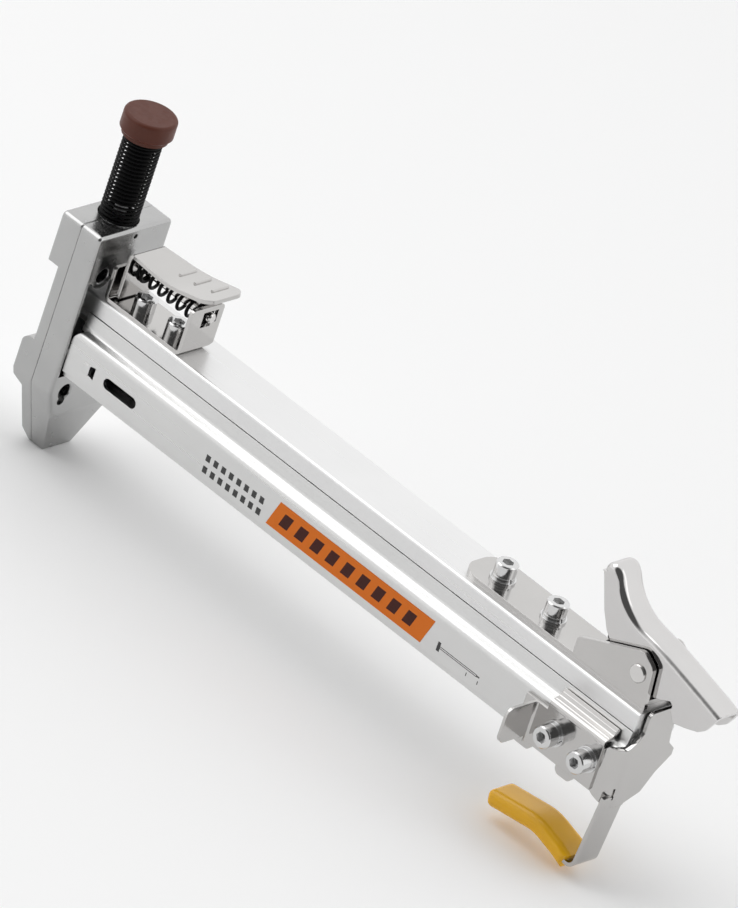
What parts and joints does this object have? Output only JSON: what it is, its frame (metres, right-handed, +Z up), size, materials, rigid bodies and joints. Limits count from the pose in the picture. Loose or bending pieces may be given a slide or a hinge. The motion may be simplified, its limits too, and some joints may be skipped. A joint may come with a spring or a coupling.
{
  "type": "staple gun",
  "caption": "Hand-struck nail gun: cast head with sprung striking plunger, nail rail with sliding magazine channel, spring latch, lever latch and hooked finger arm.",
  "frame": {"origin": "on the driver's axis at the flat end of the nose, in the middle of the nail exit", "axes": "+Z up the driver towards the striking cap, +X along the nail rail away from the head, the clamp and the finger arm are on the -Y side"},
  "size_m": [0.331, 0.0547, 0.1411],
  "materials": {
    "head_casting": "tumbled satin zinc-aluminium casting",
    "black_steel": "black oxide",
    "hardened_steel": "ground hardened steel",
    "brown_cap": "semi-gloss red-brown moulded cap",
    "rubber": "matte black rubber",
    "spring_black": "black oxide spring wire",
    "rail_aluminium": "satin anodised extrusion",
    "nickel_sheet": "bright nickel-plated pressed steel",
    "nickel_rod": "bright nickel plate",
    "bright_fasteners": "bright zinc plate",
    "polished_lever": "polished nickel plate",
    "channel_steel": "satin nickel-plated steel",
    "orange_label": "orange printed film",
    "track_steel": "plain steel",
    "yellow_vinyl": "glossy dipped vinyl"
  },
  "bodies": {
    "frame": {"head_front_cover": "head_casting", "head_rear_housing": "head_casting", "head_screws": "black_steel", "rail_screws": "black_steel", "nose_guide_bush": "hardened_steel", "driver_bumper": "rubber", "spring_seat_washer": "black_steel", "return_spring": "spring_black", "upper_rail": "rail_aluminium", "latch_bracket": "nickel_sheet", "latch_bracket_screws": "bright_fasteners", "latch_spring": "spring_black", "lever_bracket": "nickel_sheet", "lever_pivot_pin": "nickel_rod", "lever_spring": "spring_black", "lever_bracket_flat_washers": "bright_fasteners", "lever_bracket_spring_washers": "bright_fasteners", "lever_bracket_screws": "bright_fasteners"},
    "plunger": {"striking_cap": "brown_cap", "driver_rod": "black_steel", "driver_blade": "hardened_steel"},
    "thumb_latch": {"latch_thumb_plate": "nickel_sheet", "latch_guide_rod": "nickel_rod"},
    "lever": {"release_lever": "polished_lever"},
    "magazine": {"magazine_channel": "channel_steel", "side_label": "orange_label", "nail_track": "track_steel", "end_bracket": "nickel_sheet", "grip_sleeve": "yellow_vinyl", "clamp_plate": "nickel_sheet", "clamp_flat_washers": "bright_fasteners", "clamp_spring_washers": "bright_fasteners", "clamp_screws": "bright_fasteners", "clamp_nuts": "bright_fasteners"},
    "pusher": {"nail_pusher": "track_steel", "pusher_spring_roll": "spring_black", "pusher_axle": "hardened_steel"}
  },
  "joints": [
    {"name": "plunger_stroke", "type": "slide", "parent": "frame", "child": "plunger", "axis": [0, 0, -1], "range_m": [0, 0.02], "stiffness_N_per_m": 900, "springref_m": -0.004, "deforming": ["return_spring"]},
    {"name": "thumb_latch_slide", "type": "slide", "parent": "frame", "child": "thumb_latch", "axis": [1, 0, 0], "range_m": [0, 0.003], "stiffness_N_per_m": 500, "springref_m": -0.004, "deforming": ["latch_spring"]},
    {"name": "lever_pivot", "type": "hinge", "parent": "frame", "child": "lever", "pos_m": [0.284, 0, 0.0835], "axis": [0, -1, 0], "range_deg": [0, 18], "stiffness_Nm_per_rad": 0.3, "springref_deg": -11.46, "deforming": ["lever_spring"]},
    {"name": "magazine_slide", "type": "slide", "parent": "frame", "child": "magazine", "axis": [1, 0, 0], "range_m": [0, 0.18]},
    {"name": "pusher_slide", "type": "slide", "parent": "magazine", "child": "pusher", "axis": [1, 0, 0], "range_m": [0, 0.16], "stiffness_N_per_m": 20, "springref_m": -0.15}
  ]
}
